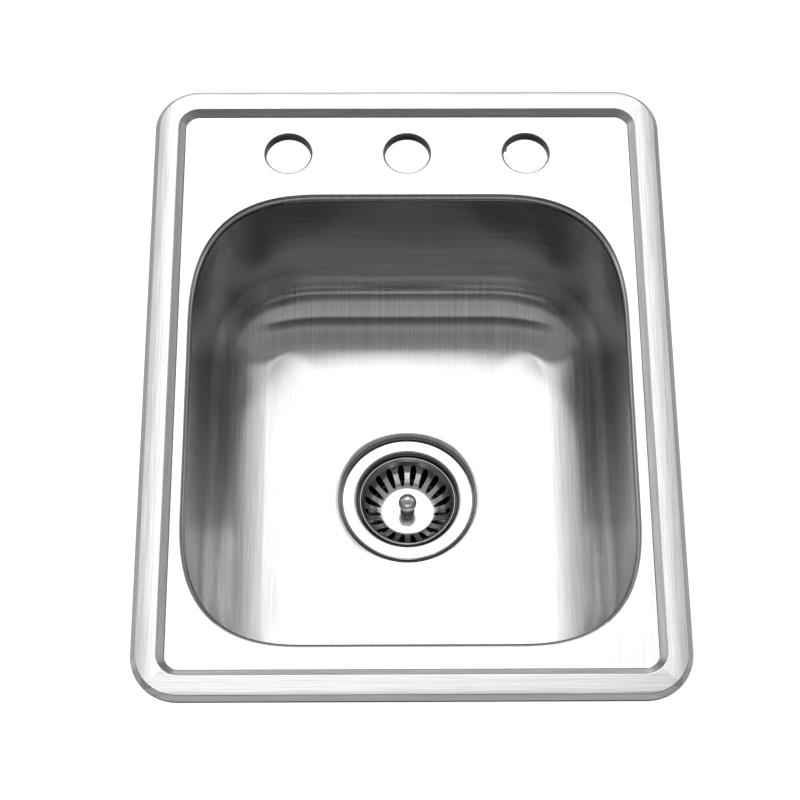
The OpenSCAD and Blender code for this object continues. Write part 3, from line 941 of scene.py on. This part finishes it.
def knob():
    node = "basket_knob"
    ball = radius_of(node)
    foot = 6.4
    centre_z = high(node)[2] - ball
    base = low(node)[2]
    bore_top = centre_z - 2
    section = [(0, bore_top), (POST_R + 0.05, bore_top), (POST_R + 0.05, base), (foot, base),
               (foot, base + 0.9, 0.4), (6.2, base + 1.8, 0.8), (5.2, base + 3.6, 1.5),
               (5.2, centre_z - 7.3, 0.4), (6.0, centre_z - 6.8, 0.3), (6.0, centre_z - 6.0, 0.2)]
    section += [tuple(p) for p in arc((0, centre_z), ball, -44, 88, 22)]
    section.append((0, centre_z + ball))
    return revolve(node, section, 72)


def lift_post():
    node = "lift_post"
    end, top = low(node)[2], high(node)[2]
    groove = POST_R - 0.7
    return revolve(node, [(0, end), (1.8, end, 0.5), (POST_R, end + 1.4, 0.6),
                          (POST_R, end + 3, 0.3), (groove, end + 3.7, 0.3),
                          (groove, end + 5.2, 0.3), (POST_R, end + 5.9, 0.3), (POST_R, top),
                          (0, top)], 48)


def stopper_seal():
    node = "stopper_seal"
    top, bottom = high(node)[2], low(node)[2]
    outer = radius_of(node)
    return revolve(node, [(POST_R + 0.1, bottom, 0.2), (outer - 1, bottom, 0.6),
                          (outer, bottom + 1.2, 0.4), (outer, top - 1.7, 0.5), (22, top, 2),
                          (POST_R + 0.1, top)])


def hexagon(node, centre, bore):
    """Hexagonal nut with turned corners, in its node's height and width over corners."""
    top, bottom = high(node)[2], low(node)[2]
    corner = (high(node)[0] - low(node)[0]) / 2
    across_y = (high(node)[1] - low(node)[1]) / 2
    half_side = math.radians(30)
    chamfer = math.radians(30)
    corner_turn = 0.0 if corner > across_y else half_side
    flat = min(corner, across_y)
    face = flat * 0.96
    steps = 72
    angles = np.arange(steps) * TURN / steps - corner_turn
    sixth = TURN / 6
    outer = flat / np.cos(angles % sixth - sixth / 2)
    drop = (outer - flat * 0.98) * math.tan(chamfer)
    rings = [(bore + 0.3, bottom), (face, bottom), (outer, bottom + drop + 0.05),
             (outer, top - drop - 0.05), (face, top), (bore + 0.3, top), (bore, top - 0.3),
             (bore, bottom + 0.3)]
    return solid(node, *skin([polar_ring(r, z, steps, centre) for r, z in rings]))


# Mounting clips

CLIPS = ["left_front", "left_back", "right_front", "right_back",
         "front_left", "front_right", "back_left", "back_right"]
BOLT_R = 3.0


def clip_bolt(place):
    """T-headed bolt: head in the rail, square neck in its slot, rolled thread down to the end."""
    node = "bolt_" + place
    lo, hi = low(node), high(node)
    centre = middle(node)[:2]
    half = (hi - lo)[:2] / 2
    steps = 40
    angles = np.arange(steps) * TURN / steps
    squareness = 9

    def block(half_x, half_y):
        """Radius at each angle of a rectangle with slightly rounded corners."""
        parts = ((np.abs(np.cos(angles)) / half_x) ** squareness
                 + (np.abs(np.sin(angles)) / half_y) ** squareness)
        return parts ** (-1 / squareness)

    head_top = hi[2]
    head_low = head_top - 2.6
    neck_low = head_low - 2
    neck = 3.45
    rings = [(block(half[0] - 0.5, half[1] - 0.5), head_top), (block(*half), head_top - 0.5),
             (block(*half), head_low + 0.3), (block(half[0] - 0.3, half[1] - 0.3), head_low),
             (block(neck, neck), head_low), (block(neck, neck), neck_low + 0.2),
             (block(neck - 0.2, neck - 0.2), neck_low), (BOLT_R - 0.4, neck_low - 0.01)]
    pitch = 1.0
    rows = 6
    thread_top = neck_low - 0.4
    thread_end = lo[2] + 1
    count = int((thread_top - thread_end) / pitch * rows)
    for k in range(count + 1):
        z = thread_top - k * pitch / rows
        phase = (z / pitch - angles / TURN) % 1
        rings.append((BOLT_R - 0.45 * np.abs(2 * phase - 1), z))
    rings += [(BOLT_R - 0.5, lo[2] + 0.7), (BOLT_R - 1.1, lo[2])]
    return solid(node, *skin([polar_ring(r, z, steps, centre) for r, z in rings], closed=False))


# Studio

def studio_world():
    """Soft light tent: a bright panel above and behind that fades sideways, and dark gaps."""
    world = bpy.data.worlds.new("studio")
    bpy.context.scene.world = world
    world.use_nodes = True
    nodes, links = world.node_tree.nodes, world.node_tree.links
    nodes.clear()

    def put(socket, value):
        if isinstance(value, bpy.types.NodeSocket):
            links.new(value, socket)
        else:
            socket.default_value = value

    def calc(operation, a, b=0.0):
        made = nodes.new("ShaderNodeMath")
        made.operation = operation
        put(made.inputs[0], a)
        put(made.inputs[1], b)
        return made.outputs[0]

    def ramp(value, reach, stops):
        """Level at a value, from (value, level) stops, where no value or level passes reach."""
        made = nodes.new("ShaderNodeValToRGB")
        put(made.inputs[0], calc("DIVIDE", value, reach[0]))
        elements = made.color_ramp.elements
        while len(elements) < len(stops):
            elements.new(0.5)
        for element, (place, level) in zip(elements, stops):
            element.position = place / reach[0]
            element.color = (*[level / reach[1]] * 3, 1)
        return calc("MULTIPLY", made.outputs[0], reach[1])

    def blend(share, a, b):
        made = nodes.new("ShaderNodeMix")
        put(made.inputs[0], share)
        put(made.inputs[2], a)
        put(made.inputs[3], b)
        return made.outputs[0]

    direction = nodes.new("ShaderNodeTexCoord").outputs["Generated"]
    split = nodes.new("ShaderNodeSeparateXYZ")
    put(split.inputs[0], direction)
    x, y, z = split.outputs
    # Angle up from the front, over the top, and how far to one side of that arc. Each ramp below
    # is a list of (place, level) stops
    rise = calc("MULTIPLY", calc("ARCTAN2", z, calc("MULTIPLY", y, -1.0)), 180 / math.pi)
    side = calc("DIVIDE", calc("ABSOLUTE", x),
                calc("SQRT", calc("ADD", calc("MULTIPLY", y, y), calc("MULTIPLY", z, z))))
    panel = 2.4
    tent = ramp(rise, (180, panel), [
        (0, 0.35), (14, 0.36), (28, 0.38), (33, 0.38), (46, 0.46), (48.5, 0.04), (53, 0.07),
        (57, 0.11), (61, 0.15), (66, 0.31), (71, 0.31), (75, 0.26), (94, 0.26), (101, 0.34),
        (105.5, 0.40), (107.5, 0.50), (109.5, panel), (148, panel), (156, 0.45), (168, 0.7),
        (180, 0.7)])
    to_right = ramp(side, (2.0, 1.0), [
        (0, 1), (0.11, 0.86), (0.16, 0.50), (0.24, 0.39), (0.34, 0.36), (0.45, 0.36), (0.7, 0.34),
        (0.9, 0.24), (1.12, 0.18), (1.2, 0.14), (1.4, 0.1), (1.55, 0.3)])
    to_left = ramp(side, (2.0, 1.0), [
        (0, 1), (0.1, 1), (0.17, 0.74), (0.25, 0.56), (0.45, 0.47), (0.67, 0.36), (0.93, 0.30),
        (1.12, 0.29), (1.2, 0.28), (1.4, 0.2), (1.55, 0.4)])
    on_panel = ramp(rise, (180, 1.0), [(0, 0), (101, 0), (106, 1), (180, 1)])
    fade = blend(on_panel, 1.0, blend(calc("GREATER_THAN", x, 0.0), to_left, to_right))
    aside = ramp(side, (1.5, 1.0), [(0, 0), (0.5, 0), (1.1, 1), (1.5, 1)])
    aside = calc("MULTIPLY", aside, calc("SUBTRACT", 1.0, on_panel))
    level = blend(aside, calc("MULTIPLY", tent, fade), 0.3)
    background = nodes.new("ShaderNodeBackground")
    put(background.inputs[0], (1, 1, 1, 1))
    seen = nodes.new("ShaderNodeLightPath").outputs["Is Camera Ray"]
    put(background.inputs[1], blend(seen, level, 1.0))
    output = nodes.new("ShaderNodeOutputWorld")
    links.new(background.outputs[0], output.inputs[0])


def pale_floor():
    """Plain white sweep under the drain."""
    size = 4000
    z = low("tailpiece")[2] - 0.5
    corners = [(-size, -size, z), (size, -size, z), (size, size, z), (-size, size, z)]
    mesh = bpy.data.meshes.new("studio_floor")
    mesh.from_pydata((np.array(corners) * MM).tolist(), [], [(0, 1, 2, 3)])
    floor = link("studio_floor", mesh)
    material = bpy.data.materials.new("studio_floor")
    material.use_nodes = True
    nodes, links = material.node_tree.nodes, material.node_tree.links
    shader = nodes["Principled BSDF"]
    glow = nodes.new("ShaderNodeMapRange")
    glow.inputs["To Min"].default_value = 0.1
    glow.inputs["To Max"].default_value = 0.9
    links.new(nodes.new("ShaderNodeLightPath").outputs["Is Camera Ray"], glow.inputs["Value"])
    links.new(glow.outputs[0], shader.inputs["Emission Strength"])
    shader.inputs["Base Color"].default_value = (0.4, 0.4, 0.4, 1)
    shader.inputs["Roughness"].default_value = 0.9
    shader.inputs["Specular IOR Level"].default_value = 0.1
    shader.inputs["Emission Color"].default_value = (1, 1, 1, 1)
    mesh.materials.append(material)


def soft_light():
    """Large lamp above and behind the sink, not seen in its reflections; sizes are metres."""
    data = bpy.data.lights.new("softbox", "AREA")
    data.shape = "RECTANGLE"
    data.size = 1.6
    data.size_y = 1.2
    data.energy = 22
    lamp = bpy.data.objects.new("softbox", data)
    bpy.context.scene.collection.objects.link(lamp)
    lamp.location = (-0.25, 1.3, 2.1)
    lamp.visible_glossy = False
    aim = Vector((0, 0, -0.1)) - lamp.location
    lamp.rotation_mode = "QUATERNION"
    lamp.rotation_quaternion = aim.to_track_quat("-Z", "Y")


def camera():
    """Camera high in front of the sink, turned a little to its left."""
    elevation = math.radians(62.42)
    yaw = math.radians(-1.13)
    roll = math.radians(0.84)
    distance = 1914
    target = Vector((-7.7, -20.5, 0))
    back = Vector((math.sin(yaw) * math.cos(elevation), -math.cos(yaw) * math.cos(elevation),
                   math.sin(elevation)))
    right = (-back).cross(Vector((0, 0, 1))).normalized()
    up = right.cross(-back)
    turned_right = right * math.cos(roll) + up * math.sin(roll)
    turned_up = up * math.cos(roll) - right * math.sin(roll)
    data = bpy.data.cameras.new("camera")
    data.sensor_width = 36
    data.lens = 106.3
    view = bpy.data.objects.new("camera", data)
    bpy.context.scene.collection.objects.link(view)
    place = (target + back * distance) * MM
    turn = Matrix((turned_right, turned_up, back)).transposed().to_4x4()
    view.matrix_world = Matrix.Translation(place) @ turn
    bpy.context.scene.camera = view


# Building

steel = brushed_steel()
# Painted shade: the strainer's cup inside radius 43.6 is darkened to 0.1, where it shows through the
# slots.
strainer_steel = turned_steel("strainer_steel", (0.1, 0.68), (43.6, 47.4), 0.16)
# Painted shade: the basket darkens from 1.0 at radius 28 to 0.35 at 38.5, on the bars towards its
# rim.
basket_steel = turned_steel("basket_steel", (1.0, 0.35), (28.0, 38.5), 0.2)
# Painted shade on the knob's neck, below its ball.
knob_chrome = chrome("knob_chrome", 0.22, high("basket_knob")[2] - 1.75 * radius_of("basket_knob"))
tail_chrome = chrome("tail_chrome")
coupling_chrome = plated_zinc("coupling_chrome", (0.66, 0.67, 0.69), 0.12)
locknut_zinc = plated_zinc("locknut_zinc", (0.46, 0.47, 0.49), 0.38)
clip_zinc = plated_zinc("clip_zinc", (0.60, 0.64, 0.70), 0.26)
rail_steel = mill_steel()
rim_foam = foam()
pad_rubber = moulded("pad_rubber", (0.02, 0.022, 0.025), (0.06, 0.063, 0.068), 0.6, 1.2, 0.12)
seal_rubber = moulded("seal_rubber", (0.012, 0.012, 0.013), (0.03, 0.03, 0.03), 0.45, 2.0, 0.02)
putty_paste = moulded("putty", (0.42, 0.38, 0.30), (0.55, 0.50, 0.41), 0.6, 0.8, 0.1)
nylon = moulded("nylon", (0.70, 0.68, 0.62), (0.80, 0.79, 0.74), 0.35, 1.5, 0.01)
poly_white = moulded("poly_white", (0.72, 0.73, 0.73), (0.82, 0.83, 0.83), 0.35, 1.2, 0.01)
paper = fibre()

finish_piece(sink_body(), "sink", steel, "sink_steel", "sink_shell")
finish_piece(gasket(), "sink", rim_foam, "rim_foam", "rim_gasket")
for node, axis, side in (("sound_pad_left", 0, -1), ("sound_pad_right", 0, 1),
                         ("sound_pad_front", 1, -1), ("sound_pad_back", 1, 1)):
    finish_piece(pad(node, axis, side), "sink", pad_rubber, "pad_rubber", node)
for end in ("left", "right", "front", "back"):
    node = "clip_rail_" + end
    finish_piece(rail(node), "sink", rail_steel, "rail_steel", node)

for node, make, material, slot in (
        ("strainer_body", strainer_body, strainer_steel, "strainer_steel"),
        ("flange_putty", putty, putty_paste, "putty"),
        ("strainer_washer", lambda: plain_ring("strainer_washer", 44.4, 0.5), seal_rubber,
         "seal_rubber"),
        ("friction_ring", lambda: plain_ring("friction_ring", 44.4, 0.15), paper, "fibre"),
        ("strainer_locknut", locknut, locknut_zinc, "locknut_zinc"),
        ("tailpiece_washer", lambda: plain_ring("tailpiece_washer", 18.05, 0.4), poly_white,
         "poly_white"),
        ("coupling_nut", coupling_nut, coupling_chrome, "coupling_chrome"),
        ("tailpiece", tailpiece, tail_chrome, "tail_chrome")):
    finish_piece(make(), "sink", material, slot, node)

finish_piece(catch_bush(), "catch", nylon, "nylon", "catch_bush")
for node, make, material, slot in (
        ("basket", basket, basket_steel, "basket_steel"),
        ("basket_knob", knob, knob_chrome, "knob_chrome"),
        ("lift_post", lift_post, basket_steel, "basket_steel"),
        ("post_spacer", lambda: plain_ring("post_spacer", POST_R + 0.1, 0.3, 48), basket_steel,
         "basket_steel"),
        ("stopper_plate", lambda: plain_ring("stopper_plate", POST_R + 0.1, 0.3), basket_steel,
         "basket_steel"),
        ("stopper_seal", stopper_seal, seal_rubber, "seal_rubber"),
        ("post_nut", lambda: hexagon("post_nut", DRAIN, POST_R + 0.06), basket_steel,
         "basket_steel")):
    finish_piece(make(), "basket", material, slot, node)

for place in CLIPS:
    centre = middle("bolt_" + place)[:2]
    finish_piece(clip_bolt(place), "bolt_" + place, clip_zinc, "clip_zinc", "bolt_" + place)
    node = "washer_" + place
    washer = plain_ring(node, BOLT_R + 0.2, 0.25, 48, centre=centre)
    finish_piece(washer, node, clip_zinc, "clip_zinc", node)
    node = "nut_" + place
    finish_piece(hexagon(node, centre, BOLT_R + 0.06), node, clip_zinc, "clip_zinc", node)

# CAD nodes that are shown as they are
carried = {"catch_spider": strainer_steel}
carried.update(("claw_" + place, clip_zinc) for place in CLIPS)
for node, material in carried.items():
    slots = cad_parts[node].data.materials
    slots.clear()
    slots.append(material)

studio_world()
pale_floor()
soft_light()
camera()
bpy.context.scene.view_settings.view_transform = "Standard"
